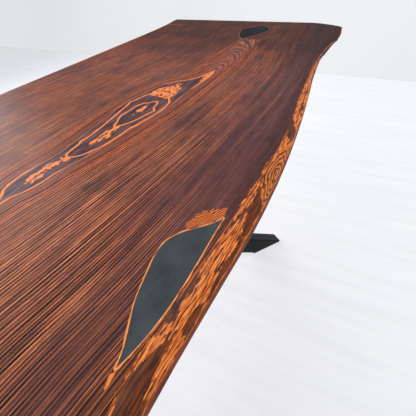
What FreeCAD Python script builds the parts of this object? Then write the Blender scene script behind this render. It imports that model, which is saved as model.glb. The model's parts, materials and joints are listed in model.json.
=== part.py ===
import FreeCAD, Part
import math
import os
import Sketcher
from FreeCAD import Placement, Rotation, Vector

# Live edge dining table: a thick stained softwood slab with two resin filled voids, stiffened by two steel
# channels let into its underside, on a welded steel base of four legs and four arms that cross at the middle.
# Millimetres. The origin is on the floor below the crossing, +X runs along the slab, -Y faces the live edge
# that leans outwards ("front"), +Z is up.

os.makedirs("parts", exist_ok=True)
doc = FreeCAD.newDocument("LiveEdgeDiningTable")

# ---------------------------------------------------------------------------------------------------------
# Driving dimensions
# ---------------------------------------------------------------------------------------------------------

driving_dimensions = {
    # slab
    "table_height": 750,
    "slab_length": 2700,
    "slab_thickness": 52,
    "front_reach": 478,
    "back_reach": 487,
    "edge_wander": 100,
    "corner_radius": 7,
    "arris": 1.5,
    # resin filled voids: the near one lies along the front edge and starts near_pool_reach to the left of the
    # middle, the far one ends near the far end, with its tip far_pool_reach in front of the middle line
    "near_pool_reach": 78,
    "near_pool_margin": 43,
    "near_pool_length": 245,
    "near_pool_width": 62,
    "near_pool_depth": 34,
    "far_pool_margin": 102,
    "far_pool_reach": 71,
    "far_pool_length": 269,
    "far_pool_width": 129,
    "resin_clearance": 0.1,
    # rectangular steel tube of the base
    "tube_width": 50,
    "tube_depth": 80,
    "tube_wall": 3,
    "tube_corner": 5,
    "leg_azimuth": 37.4,
    "foot_reach": 629,
    "crossing_height": 410,
    # feet
    "foot_plate_thickness": 5,
    "glide_thickness": 5,
    "glide_inset": 4,
    "glide_screw_spacing": 90,
    "glide_bore_depth": 3.4,
    # flat bars that tie the arms together and carry the slab
    "bar_overhang": 3,
    "bar_thickness": 6,
    "bar_bolt_spacing": 100,
    "bar_bolt_arm_gap": 58,
    "bar_slot_length": 24,
    # channels let into the underside
    "channel_pool_gap": 79,
    "channel_margin": 98,
    "channel_width": 40,
    "channel_depth": 15,
    "channel_wall": 3,
    "channel_bolt_margin": 50,
    "channel_slot_length": 16,
    "channel_clearance": 0.4,
    # bolts, washers and threaded inserts: M8 in the bars, M6 in the channels, M5 in the glides
    "bar_bolt_diameter": 8,
    "bar_bolt_length": 25,
    "bar_bolt_head_diameter": 14,
    "bar_bolt_head_height": 4.4,
    "bar_bolt_socket_width": 5,
    "bar_washer_diameter": 16,
    "bar_washer_thickness": 1.6,
    "bar_insert_diameter": 12,
    "bar_insert_length": 20,
    "channel_bolt_diameter": 6,
    "channel_bolt_length": 16,
    "channel_bolt_head_diameter": 10.5,
    "channel_bolt_head_height": 3.3,
    "channel_bolt_socket_width": 4,
    "channel_washer_diameter": 12,
    "channel_washer_thickness": 1.6,
    "channel_insert_diameter": 10,
    "channel_insert_length": 13,
    "glide_screw_diameter": 5,
    "glide_screw_length": 12,
    "glide_screw_head_diameter": 8.5,
    "glide_screw_head_height": 2.8,
    "glide_screw_socket_width": 3,
    "bolt_clearance": 0.5,
    "thread_clearance": 0.1,
    "insert_clearance": 0.15,
    "insert_hole_bottom": 2,
}

sizes = doc.addObject("Spreadsheet::Sheet", "Sizes")
for row, (alias, number) in enumerate(driving_dimensions.items(), start=1):
    sizes.set(f"A{row}", alias)
    sizes.set(f"B{row}", str(number))
    sizes.setAlias(f"B{row}", alias)
doc.recompute()

# Levels and slopes that several pieces share, as expressions on the sheet
UNDERSIDE = "(Sizes.table_height - Sizes.slab_thickness)"
ARM_TOP = f"({UNDERSIDE} - Sizes.bar_thickness)"
FOOT_TOP = "(Sizes.glide_thickness + Sizes.foot_plate_thickness)"
SLOPE = f"atan((Sizes.crossing_height - {FOOT_TOP}) / Sizes.foot_reach)"
HALF_CUT = f"(Sizes.tube_depth / (2 * sin({SLOPE})))"
HALF_BORE = f"((Sizes.tube_depth / 2 - Sizes.tube_wall) / sin({SLOPE}))"
ARM_REACH = f"(({ARM_TOP} - Sizes.crossing_height) / tan({SLOPE}))"
COS_AZIMUTH, SIN_AZIMUTH = "cos(Sizes.leg_azimuth * 1deg)", "sin(Sizes.leg_azimuth * 1deg)"
BAR_CENTRE = f"({ARM_REACH} * {COS_AZIMUTH})"
HALF_BAR_WIDTH = f"({HALF_CUT} * {COS_AZIMUTH} + Sizes.tube_width / 2 * {SIN_AZIMUTH} + Sizes.bar_overhang)"
ARM_TOP_OUTER = f"(({ARM_REACH} + {HALF_CUT}) * {SIN_AZIMUTH} + Sizes.tube_width / 2 * {COS_AZIMUTH})"
ARM_TOP_INNER = f"(({ARM_REACH} - {HALF_CUT}) * {SIN_AZIMUTH} - Sizes.tube_width / 2 * {COS_AZIMUTH})"
HALF_BAR_LENGTH = f"({ARM_TOP_OUTER} + Sizes.bar_overhang)"
BAR_BOLT_PITCH = f"({ARM_TOP_INNER} - Sizes.bar_bolt_arm_gap)"
FAR_POOL_TIP = "(Sizes.slab_length / 2 - Sizes.far_pool_margin - Sizes.far_pool_length)"
CHANNEL_OFFSET = f"({FAR_POOL_TIP} - Sizes.channel_pool_gap - Sizes.channel_width / 2)"
CHANNEL_LENGTH = "(2 * (Sizes.front_reach - Sizes.channel_margin))"
CHANNEL_BOLT_PITCH = f"(({CHANNEL_LENGTH} / 2 - Sizes.channel_bolt_margin) / 2)"


# ---------------------------------------------------------------------------------------------------------
# Sketches and features
# ---------------------------------------------------------------------------------------------------------

def value(expression):
    """The number that an expression on the sheet gives."""
    result = sizes.evalExpression(expression)
    return float(getattr(result, "Value", result))


def bind(feature, prop, expression):
    """Sets a property to an expression on the sheet."""
    feature.setExpression(prop, expression)


def new_body(name):
    body = doc.addObject("PartDesign::Body", name)
    body.Label = name
    return body


def new_sketch(body, name, plane="XY_Plane", height=None):
    """A sketch on one of the body's own origin planes, moved along the plane's normal by height."""
    sketch = body.newObject("Sketcher::SketchObject", name)
    support = next(feature for feature in body.Origin.OriginFeatures if feature.Role == plane)
    sketch.AttachmentSupport = [(support, "")]
    sketch.MapMode = "FlatFace"
    if height:
        bind(sketch, "AttachmentOffset.Base.z", height)
    return sketch


def pin_point(sketch, geometry, point, x, y):
    """Holds one point of the sketch at the place that two expressions give."""
    for kind, expression in (("DistanceX", x), ("DistanceY", y)):
        constraint = Sketcher.Constraint(kind, -1, 1, geometry, point, value(expression))
        number = sketch.addConstraint(constraint)
        bind(sketch, f"Constraints[{number}]", expression)


def add_polygon(sketch, corners):
    """A closed polygon whose corners are pairs of expressions in the sketch's own axes."""
    spots = [Vector(value(x), value(y), 0) for x, y in corners]
    first = sketch.GeometryCount
    for index, spot in enumerate(spots):
        sketch.addGeometry(Part.LineSegment(spot, spots[(index + 1) % len(spots)]), False)
    for index, (x, y) in enumerate(corners):
        before = first + (index - 1) % len(corners)
        sketch.addConstraint(Sketcher.Constraint("Coincident", before, 2, first + index, 1))
        pin_point(sketch, first + index, 1, x, y)


def add_rectangle(sketch, x, y, length, width):
    """A rectangle centred on x, y, with its length along the sketch's first axis."""
    low_x, high_x = f"{x} - ({length}) / 2", f"{x} + ({length}) / 2"
    low_y, high_y = f"{y} - ({width}) / 2", f"{y} + ({width}) / 2"
    add_polygon(sketch, [(low_x, low_y), (high_x, low_y), (high_x, high_y), (low_x, high_y)])


def set_diameter(sketch, geometry, diameter):
    number = sketch.addConstraint(Sketcher.Constraint("Diameter", geometry, value(diameter)))
    bind(sketch, f"Constraints[{number}]", diameter)


def add_circle(sketch, x, y, diameter):
    circle = Part.Circle(Vector(value(x), value(y), 0), Vector(0, 0, 1), value(diameter) / 2)
    geometry = sketch.addGeometry(circle, False)
    pin_point(sketch, geometry, 3, x, y)
    set_diameter(sketch, geometry, diameter)


def add_slot(sketch, x, y, width, length):
    """A round-ended slot centred on x, y, with its length along the sketch's second axis."""
    radius = value(width) / 2
    half_run = f"(({length}) - ({width})) / 2"
    middle_x, low_y, high_y = value(x), value(f"{y} - {half_run}"), value(f"{y} + {half_run}")
    up = Vector(0, 0, 1)
    lower = Part.ArcOfCircle(Part.Circle(Vector(middle_x, low_y, 0), up, radius), math.pi, 2 * math.pi)
    upper = Part.ArcOfCircle(Part.Circle(Vector(middle_x, high_y, 0), up, radius), 0, math.pi)
    right = Part.LineSegment(Vector(middle_x + radius, low_y, 0), Vector(middle_x + radius, high_y, 0))
    left = Part.LineSegment(Vector(middle_x - radius, high_y, 0), Vector(middle_x - radius, low_y, 0))
    first = sketch.GeometryCount
    for curve in (lower, right, upper, left):
        sketch.addGeometry(curve, False)
    for index in range(4):
        sketch.addConstraint(Sketcher.Constraint("Tangent", first + index, 2, first + (index + 1) % 4, 1))
    for geometry, end_y in ((first, f"{y} - {half_run}"), (first + 2, f"{y} + {half_run}")):
        pin_point(sketch, geometry, 3, x, end_y)
        set_diameter(sketch, geometry, width)


def add_curve(sketch, spots, step):
    """A smooth curve through spots, drawn in pieces of step spots. Returns the pieces' numbers."""
    whole = Part.BSplineCurve()
    whole.interpolate(spots)
    joints = [whole.parameter(spot) for spot in spots[:-1:step]] + [whole.LastParameter]
    pieces = []
    for low, high in zip(joints, joints[1:]):
        piece = whole.copy()
        piece.segment(low, high)
        pieces.append(sketch.addGeometry(piece, False))
    return pieces


def pad(body, sketch, length, symmetric=False):
    feature = body.newObject("PartDesign::Pad", f"{body.Name}_pad")
    feature.Profile = sketch
    feature.SideType = "Symmetric" if symmetric else "One side"
    bind(feature, "Length", length)
    doc.recompute()
    return feature


def pocket(body, sketch, depth=None, upwards=False, symmetric=False):
    """Cuts the sketch out of the body, right through when no depth is given."""
    volume_before = body.Shape.Volume
    feature = body.newObject("PartDesign::Pocket", f"{body.Name}_pocket")
    feature.Profile = sketch
    feature.SideType = "Symmetric" if symmetric else "One side"
    feature.Reversed = upwards
    if depth:
        bind(feature, "Length", depth)
    else:
        feature.Type = "ThroughAll"
    doc.recompute()
    if body.Shape.Volume >= volume_before:
        raise RuntimeError(f"{feature.Name} cuts nothing")
    return feature


def round_edges(body, base, radius, chosen):
    """Rounds the edges of base that the function chosen picks."""
    names = [f"Edge{number}" for number, edge in enumerate(base.Shape.Edges, start=1) if chosen(edge)]
    feature = body.newObject("PartDesign::Fillet", f"{body.Name}_fillet")
    feature.Base = (base, names)
    bind(feature, "Radius", radius)
    doc.recompute()
    return feature


def is_upright(edge):
    """True for a straight edge parallel to Z."""
    run = edge.Vertexes[-1].Point - edge.Vertexes[0].Point
    return run.Length > 0 and abs(run.z) > 0.999 * run.Length


# ---------------------------------------------------------------------------------------------------------
# Slab
# ---------------------------------------------------------------------------------------------------------

# Natural edges, station by station: share of the half length, how far the widest line lies inside the
# reach of that side, and how much further in the top arris and the underside edge lie, these three in
# hundredths of edge_wander.
FRONT_EDGE = (
    (-1.000, 26, 25, 6),
    (-0.667, 17, 23, 6),
    (-0.481, 14, 20, 5),
    (-0.252, 18, 24, 4),
    (-0.030, 0, 26, 2),
    (0.133, 0, 16, 1),
    (0.241, 6, 16, 2),
    (0.393, 22, 15, 2),
    (0.519, 38, 7, 3),
    (0.622, 41, 1, 9),
    (0.704, 32, 1, 22),
    (0.785, 15, 1, 31),
    (0.859, 12, 1, 31),
    (0.911, 18, 1, 14),
    (0.948, 27, 1, 6),
    (0.960, 46, 1, 5),
    (0.981, 93, 1, 4),
    (0.993, 130, 1, 3),
    (1.000, 196, 0, 0),
)
BACK_EDGE = (
    (-1.000, 13, 6, 4),
    (-0.574, 9, 7, 4),
    (-0.250, 17, 6, 4),
    (0.120, 21, 6, 4),
    (0.389, 23, 6, 4),
    (0.574, 23, 6, 4),
    (0.833, 20, 6, 4),
    (0.907, 12, 6, 4),
    (0.968, 2, 4, 3),
    (1.000, 0, 2, 3),
)
# Sections of the leaning faces from the underside up: share of the thickness, share of the lean of the
# underside edge, share of the lean of the top arris.
SLAB_SECTIONS = ((0.0, 1.0, 0.0), (0.3, 0.75, 0.0), (0.7, 0.3, 0.3), (1.0, 0.0, 1.0))
STATIONS_PER_PIECE = 3


def edge_spots(stations, reach, side, under_share, top_share, draw):
    """Plan view of one natural edge at one level, drawn in by draw. side is -1 for front and 1 for back."""
    half_length = value("Sizes.slab_length") / 2 - draw
    hundredth = value("Sizes.edge_wander") / 100
    spots = []
    for along, inset, top_lean, under_lean in stations:
        inward = inset + under_share * under_lean + top_share * top_lean
        spots.append(Vector(along * half_length, side * (reach - inward * hundredth - draw), 0))
    return spots


def corner_arc(x, y, x_sign, y_sign, start, draw):
    """Quarter circle inside a square corner at x, y, that turns left from the angle start."""
    radius = value("Sizes.corner_radius") - draw
    centre = Vector(x - x_sign * radius, y - y_sign * radius, 0)
    return Part.ArcOfCircle(Part.Circle(centre, Vector(0, 0, 1), radius), start, start + math.pi / 2)


def slab_section(body, height, under_share, top_share, draw=0):
    """Closed outline of the slab at one level: saw cut ends with eased corners, natural edges between."""
    sketch = new_sketch(body, "slab_section", height=height)
    front = edge_spots(FRONT_EDGE, value("Sizes.front_reach"), -1, under_share, top_share, draw)
    back = edge_spots(BACK_EDGE, value("Sizes.back_reach"), 1, under_share, top_share, draw)
    far_back = corner_arc(back[-1].x, back[-1].y, 1, 1, 0, draw)
    near_back = corner_arc(back[0].x, back[0].y, -1, 1, math.pi / 2, draw)
    near_front = corner_arc(front[0].x, front[0].y, -1, -1, math.pi, draw)
    front[0], back[0], back[-1] = near_front.EndPoint, near_back.StartPoint, far_back.EndPoint
    loop = add_curve(sketch, front, STATIONS_PER_PIECE)
    loop.append(sketch.addGeometry(Part.LineSegment(front[-1], far_back.StartPoint), False))
    loop.append(sketch.addGeometry(far_back, False))
    loop.extend(add_curve(sketch, back[::-1], STATIONS_PER_PIECE))
    loop.append(sketch.addGeometry(near_back, False))
    loop.append(sketch.addGeometry(Part.LineSegment(near_back.EndPoint, near_front.StartPoint), False))
    loop.append(sketch.addGeometry(near_front, False))
    for position, geometry in enumerate(loop):
        following = loop[(position + 1) % len(loop)]
        sketch.addConstraint(Sketcher.Constraint("Coincident", geometry, 2, following, 1))
    return sketch


def add_loft(body, sections, ruled):
    loft = body.newObject("PartDesign::AdditiveLoft", f"{body.Name}_loft")
    loft.Profile = sections[0]
    loft.Sections = sections[1:]
    loft.Ruled = ruled
    doc.recompute()


# Voids in plan, as shares of the pool's length and width counted from its pointed tip.
NEAR_POOL_STRAIGHT = ((0, 0), (0.22, 0.01), (0.53, 0.01), (0.71, 0.05), (0.85, 0.13), (1, 0.29))
NEAR_POOL_BELLY = (
    (0, 0), (0.09, 0.24), (0.19, 0.66), (0.29, 0.94), (0.40, 1.0),
    (0.54, 0.89), (0.71, 0.73), (0.84, 0.50), (1, 0.29),
)
FAR_POOL_FRONT = (
    (0, 0), (0.09, -0.10), (0.23, -0.19), (0.36, -0.32), (0.50, -0.42),
    (0.62, -0.52), (0.75, -0.51), (0.91, -0.30), (1, -0.06),
)
FAR_POOL_BACK = (
    (0, 0), (0.10, 0.16), (0.23, 0.28), (0.46, 0.42), (0.68, 0.48),
    (0.79, 0.36), (0.88, 0.21), (0.95, 0.08), (1, -0.06),
)


POOLS = {
    "near_pool": {
        "tip": ("-Sizes.near_pool_reach", "Sizes.near_pool_margin - Sizes.front_reach"),
        "direction": -1,
        "sides": (NEAR_POOL_STRAIGHT, NEAR_POOL_BELLY),
        "depth": "Sizes.near_pool_depth",
        "goes_through": False,
    },
    "far_pool": {
        "tip": (FAR_POOL_TIP, "-Sizes.far_pool_reach"),
        "direction": 1,
        "sides": (FAR_POOL_FRONT, FAR_POOL_BACK),
        "depth": "Sizes.slab_thickness",
        "goes_through": True,
    },
}


def add_pool(sketch, pool, clearance):
    """The closed outline of one void, drawn in by clearance on each side."""
    shape = POOLS[pool]
    direction = shape["direction"]
    acrosses = [across for side in shape["sides"] for _, across in side]
    middle = (min(acrosses) + max(acrosses)) / 2
    tip_x, tip_y = (value(place) for place in shape["tip"])
    start_x = tip_x + direction * clearance
    start_y = tip_y + 2 * clearance * middle
    length = value(f"Sizes.{pool}_length") - 2 * clearance
    width = value(f"Sizes.{pool}_width") - 2 * clearance
    for side in shape["sides"]:
        spots = [Vector(start_x + direction * along * length, start_y + across * width, 0)
                 for along, across in side]
        add_curve(sketch, spots, STATIONS_PER_PIECE)


def build_slab():
    body = new_body("slab_top")
    leaning = []
    for level, under_share, top_share in SLAB_SECTIONS:
        height = f"{UNDERSIDE} + Sizes.arris + {level} * (Sizes.slab_thickness - 2 * Sizes.arris)"
        leaning.append(slab_section(body, height, under_share, top_share))
    arris = value("Sizes.arris")
    underside_rim = slab_section(body, UNDERSIDE, *SLAB_SECTIONS[0][1:], draw=arris)
    top_rim = slab_section(body, "Sizes.table_height", *SLAB_SECTIONS[-1][1:], draw=arris)
    add_loft(body, leaning, ruled=False)
    add_loft(body, [leaning[0], underside_rim], ruled=True)
    add_loft(body, [leaning[-1], top_rim], ruled=True)

    for pool, shape in POOLS.items():
        outline = new_sketch(body, f"{pool}_outline", height="Sizes.table_height")
        add_pool(outline, pool, clearance=0)
        pocket(body, outline, None if shape["goes_through"] else shape["depth"])

    web_width = "Sizes.channel_width + 2 * Sizes.channel_clearance"
    web_length = f"{CHANNEL_LENGTH} + 2 * Sizes.channel_clearance"
    kerf_width = "Sizes.channel_wall + 2 * Sizes.channel_clearance"
    web_recess = new_sketch(body, "channel_recess", height=UNDERSIDE)
    kerfs = new_sketch(body, "channel_kerfs", height=UNDERSIDE)
    for side in (-1, 1):
        centre = f"{side} * {CHANNEL_OFFSET}"
        add_rectangle(web_recess, centre, "0", web_width, web_length)
        for flange in (-1, 1):
            flange_x = f"{centre} + {flange} * (Sizes.channel_width - Sizes.channel_wall) / 2"
            add_rectangle(kerfs, flange_x, "0", kerf_width, web_length)
    pocket(body, web_recess, "Sizes.channel_wall + Sizes.channel_clearance", upwards=True)
    pocket(body, kerfs, "Sizes.channel_depth + Sizes.channel_clearance", upwards=True)

    bar_holes = new_sketch(body, "bar_insert_holes", height=UNDERSIDE)
    for x, y in bar_bolt_spots():
        add_circle(bar_holes, x, y, "Sizes.bar_insert_diameter + 2 * Sizes.insert_clearance")
    pocket(body, bar_holes, "Sizes.bar_insert_length + Sizes.insert_hole_bottom", upwards=True)
    channel_holes = new_sketch(body, "channel_insert_holes", height=UNDERSIDE)
    for x, y in channel_bolt_spots():
        add_circle(channel_holes, x, y, "Sizes.channel_insert_diameter + 2 * Sizes.insert_clearance")
    hole_depth = "Sizes.channel_wall + Sizes.channel_clearance + Sizes.channel_insert_length"
    pocket(body, channel_holes, f"{hole_depth} + Sizes.insert_hole_bottom", upwards=True)
    return body


def bar_bolt_spots():
    """Places of the slab bolts, three rows of two in each flat bar, as pairs of expressions."""
    spots = []
    for side in (-1, 1):
        for spread in (-1, 1):
            for row in (-1, 0, 1):
                x = f"{side} * {BAR_CENTRE} + {spread} * Sizes.bar_bolt_spacing / 2"
                spots.append((x, f"{row} * {BAR_BOLT_PITCH}"))
    return spots


def channel_bolt_spots():
    """Places of the five bolts in each channel, as pairs of expressions."""
    return [(f"{side} * {CHANNEL_OFFSET}", f"{row} * {CHANNEL_BOLT_PITCH}")
            for side in (-1, 1) for row in (-2, -1, 0, 1, 2)]


def build_resin(name, pool):
    """The hardened resin in one void, flush with the top."""
    body = new_body(name)
    depth = POOLS[pool]["depth"]
    sketch = new_sketch(body, f"{name}_outline", height=f"Sizes.table_height - {depth}")
    add_pool(sketch, pool, value("Sizes.resin_clearance"))
    pad(body, sketch, depth)
    return body


# ---------------------------------------------------------------------------------------------------------
# Base
# ---------------------------------------------------------------------------------------------------------

CORNERS = {
    "front_right": (1, -1),
    "back_right": (1, 1),
    "back_left": (-1, 1),
    "front_left": (-1, -1),
}


def azimuth_of(corner):
    """Direction in plan, in degrees from +X, of the leg that stands under this corner of the table."""
    x_sign, y_sign = CORNERS[corner]
    azimuth = value("Sizes.leg_azimuth")
    return y_sign * (azimuth if x_sign > 0 else 180 - azimuth)


def turn(body, corner):
    body.Placement = Placement(Vector(), Rotation(Vector(0, 0, 1), azimuth_of(corner)))


def build_tube(name, corner, low_level, low_x, high_level, high_x):
    """One sloping tube. Its own +X points away from the crossing; the ends are cut level, and the end at
    the crossing is mitred in plan along the two planes that it shares with its neighbours."""
    body = new_body(name)
    outside = new_sketch(body, f"{name}_side", plane="XZ_Plane")
    corners = [
        (f"{low_x} - {HALF_CUT}", low_level),
        (f"{low_x} + {HALF_CUT}", low_level),
        (f"{high_x} + {HALF_CUT}", high_level),
        (f"{high_x} - {HALF_CUT}", high_level),
    ]
    add_polygon(outside, corners)
    solid = pad(body, outside, "Sizes.tube_width", symmetric=True)

    def is_long(edge):
        run = edge.Vertexes[-1].Point - edge.Vertexes[0].Point
        return abs(run.x) > 1 and abs(run.z) > 1

    round_edges(body, solid, "Sizes.tube_corner", is_long)
    inside = new_sketch(body, f"{name}_bore", plane="XZ_Plane")
    overrun_x = f"Sizes.tube_wall * ({high_x} - {low_x}) / ({high_level} - {low_level})"
    bore = [
        (f"{low_x} - {overrun_x} - {HALF_BORE}", f"{low_level} - Sizes.tube_wall"),
        (f"{low_x} - {overrun_x} + {HALF_BORE}", f"{low_level} - Sizes.tube_wall"),
        (f"{high_x} + {overrun_x} + {HALF_BORE}", f"{high_level} + Sizes.tube_wall"),
        (f"{high_x} + {overrun_x} - {HALF_BORE}", f"{high_level} + Sizes.tube_wall"),
    ]
    add_polygon(inside, bore)
    pocket(body, inside, "Sizes.tube_width - 2 * Sizes.tube_wall", symmetric=True)

    x_sign, y_sign = CORNERS[corner]
    to_long_axis, to_cross_axis = "Sizes.leg_azimuth", "(90 - Sizes.leg_azimuth)"
    left, right = (to_long_axis, to_cross_axis) if x_sign * y_sign < 0 else (to_cross_axis, to_long_axis)
    reach = "(2 * Sizes.tube_depth)"
    mitre = new_sketch(body, f"{name}_mitre", height="Sizes.crossing_height")
    waste = [
        ("0", "0"),
        (f"{reach} * cos({left} * 1deg)", f"{reach} * sin({left} * 1deg)"),
        (f"-{reach}", f"{reach} * sin({left} * 1deg)"),
        (f"-{reach}", f"-{reach} * sin({right} * 1deg)"),
        (f"{reach} * cos({right} * 1deg)", f"-{reach} * sin({right} * 1deg)"),
    ]
    add_polygon(mitre, waste)
    pocket(body, mitre, symmetric=True)
    turn(body, corner)
    return body


def build_foot_plate(corner):
    """The plate that closes the lower end of a leg, tapped for the two glide screws."""
    name = f"foot_plate_{corner}"
    body = new_body(name)
    outline = new_sketch(body, f"{name}_outline", height="Sizes.glide_thickness")
    add_rectangle(outline, "Sizes.foot_reach", "0", f"2 * {HALF_CUT}", "Sizes.tube_width")
    plate = pad(body, outline, "Sizes.foot_plate_thickness")
    round_edges(body, plate, "Sizes.tube_corner", is_upright)
    holes = new_sketch(body, f"{name}_holes", height=FOOT_TOP)
    for side in (-1, 1):
        x = f"Sizes.foot_reach + {side} * Sizes.glide_screw_spacing / 2"
        add_circle(holes, x, "0", "Sizes.glide_screw_diameter + 2 * Sizes.thread_clearance")
    pocket(body, holes)
    turn(body, corner)
    return body


def build_glide(corner):
    """The plastic pad under a foot plate, with counterbored holes for its two screws."""
    name = f"foot_glide_{corner}"
    body = new_body(name)
    outline = new_sketch(body, f"{name}_outline")
    length, width = f"2 * {HALF_CUT} - 2 * Sizes.glide_inset", "Sizes.tube_width - 2 * Sizes.glide_inset"
    add_rectangle(outline, "Sizes.foot_reach", "0", length, width)
    slab = pad(body, outline, "Sizes.glide_thickness")
    round_edges(body, slab, "Sizes.tube_corner", is_upright)
    bores = new_sketch(body, f"{name}_bores")
    holes = new_sketch(body, f"{name}_holes", height="Sizes.glide_thickness")
    for side in (-1, 1):
        x = f"Sizes.foot_reach + {side} * Sizes.glide_screw_spacing / 2"
        add_circle(bores, x, "0", "Sizes.glide_screw_head_diameter + 2 * Sizes.bolt_clearance")
        add_circle(holes, x, "0", "Sizes.glide_screw_diameter + Sizes.bolt_clearance")
    pocket(body, bores, "Sizes.glide_bore_depth", upwards=True)
    pocket(body, holes)
    turn(body, corner)
    return body


def build_bar(name, side):
    """The flat bar that ties a front and a back arm together under the slab, with slots across the grain."""
    body = new_body(name)
    outline = new_sketch(body, f"{name}_outline", height=ARM_TOP)
    centre = f"{side} * {BAR_CENTRE}"
    add_rectangle(outline, centre, "0", f"2 * {HALF_BAR_WIDTH}", f"2 * {HALF_BAR_LENGTH}")
    bar = pad(body, outline, "Sizes.bar_thickness")
    round_edges(body, bar, "Sizes.tube_corner", is_upright)
    slots = new_sketch(body, f"{name}_slots", height=UNDERSIDE)
    for spread in (-1, 1):
        for row in (-1, 0, 1):
            x = f"{centre} + {spread} * Sizes.bar_bolt_spacing / 2"
            slot_width = "Sizes.bar_bolt_diameter + 2 * Sizes.bolt_clearance"
            add_slot(slots, x, f"{row} * {BAR_BOLT_PITCH}", slot_width, "Sizes.bar_slot_length")
    pocket(body, slots)
    return body


def build_channel(name, side):
    """The U channel let into the underside across the grain, web down and flush with the wood."""
    body = new_body(name)
    profile = new_sketch(body, f"{name}_profile", plane="XZ_Plane")
    centre = f"{side} * {CHANNEL_OFFSET}"
    half, inner = "Sizes.channel_width / 2", "(Sizes.channel_width / 2 - Sizes.channel_wall)"
    web_top, flange_top = f"{UNDERSIDE} + Sizes.channel_wall", f"{UNDERSIDE} + Sizes.channel_depth"
    corners = [
        (f"{centre} - {half}", UNDERSIDE),
        (f"{centre} + {half}", UNDERSIDE),
        (f"{centre} + {half}", flange_top),
        (f"{centre} + {inner}", flange_top),
        (f"{centre} + {inner}", web_top),
        (f"{centre} - {inner}", web_top),
        (f"{centre} - {inner}", flange_top),
        (f"{centre} - {half}", flange_top),
    ]
    add_polygon(profile, corners)
    pad(body, profile, CHANNEL_LENGTH, symmetric=True)
    slots = new_sketch(body, f"{name}_slots", height=web_top)
    for row in (-2, -1, 0, 1, 2):
        slot_width = "Sizes.channel_bolt_diameter + 2 * Sizes.bolt_clearance"
        add_slot(slots, centre, f"{row} * {CHANNEL_BOLT_PITCH}", slot_width, "Sizes.channel_slot_length")
    pocket(body, slots)
    return body


# ---------------------------------------------------------------------------------------------------------
# Fasteners
# ---------------------------------------------------------------------------------------------------------

def build_ring(name, outer, inner, height):
    """A washer or a threaded insert: a ring on the XY plane."""
    body = new_body(name)
    sketch = new_sketch(body, f"{name}_outline")
    add_circle(sketch, "0", "0", outer)
    add_circle(sketch, "0", "0", inner)
    pad(body, sketch, height)
    return body


# Outline of a domed head: shares of its radius, and of its height below the seat
DOMED_HEAD = [(0, 1), (0.6, 1), (0.9, 0.6), (1, 0.2), (1, 0)]
SOCKET_DEPTH_SHARE = 0.6
TIP_TAPER_SHARE = 0.25


def build_screw(name, screw):
    """A domed socket screw that points up, with the seat of its head on the XY plane."""
    body = new_body(name)
    head_height, socket = f"Sizes.{screw}_head_height", f"Sizes.{screw}_socket_width"
    head, shank = f"Sizes.{screw}_head_diameter / 2", f"Sizes.{screw}_diameter / 2"
    tip = f"Sizes.{screw}_length"
    profile = new_sketch(body, f"{name}_profile", plane="XZ_Plane")
    corners = [(f"{out} * {head}", f"-{down} * {head_height}") for out, down in DOMED_HEAD]
    corners += [
        (shank, "0"),
        (shank, f"{tip} - {TIP_TAPER_SHARE} * {shank}"),
        (f"{1 - TIP_TAPER_SHARE} * {shank}", tip),
        ("0", tip),
    ]
    add_polygon(profile, corners)
    revolution = body.newObject("PartDesign::Revolution", f"{name}_revolution")
    revolution.Profile = profile
    revolution.ReferenceAxis = (profile, ["V_Axis"])
    revolution.Angle = 360
    doc.recompute()
    hexagon = new_sketch(body, f"{name}_hexagon", height=f"-{head_height}")
    around = [f"{60 * index} * 1deg" for index in range(6)]
    corner_radius = f"{socket} / sqrt(3)"
    add_polygon(hexagon, [(f"{corner_radius} * cos({at})", f"{corner_radius} * sin({at})") for at in around])
    pocket(body, hexagon, f"{SOCKET_DEPTH_SHARE} * {head_height}", upwards=True)
    return body


def build_group(name, master, spots, level, angle=0):
    """One node that holds a copy of the master piece at each spot."""
    copies = []
    for x, y in spots:
        copy = doc.addObject("App::Link", f"{name}_copy")
        copy.LinkedObject = master
        copy.LinkPlacement = Placement(Vector(), Rotation(Vector(0, 0, 1), angle))
        bind(copy, "LinkPlacement.Base.x", x)
        bind(copy, "LinkPlacement.Base.y", y)
        bind(copy, "LinkPlacement.Base.z", level)
        copies.append(copy)
    group = doc.addObject("Part::Compound", name)
    group.Links = copies
    group.Label = name
    doc.recompute()
    return group


def glide_screw_spots():
    """Places of the two screws under each foot, as pairs of expressions."""
    spots = []
    for corner in CORNERS:
        for side in (-1, 1):
            out = f"(Sizes.foot_reach + {side} * Sizes.glide_screw_spacing / 2)"
            x_sign, y_sign = CORNERS[corner]
            x = f"{x_sign} * {out} * {COS_AZIMUTH}"
            y = f"{y_sign} * {out} * {SIN_AZIMUTH}"
            spots.append((x, y))
    return spots


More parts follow.
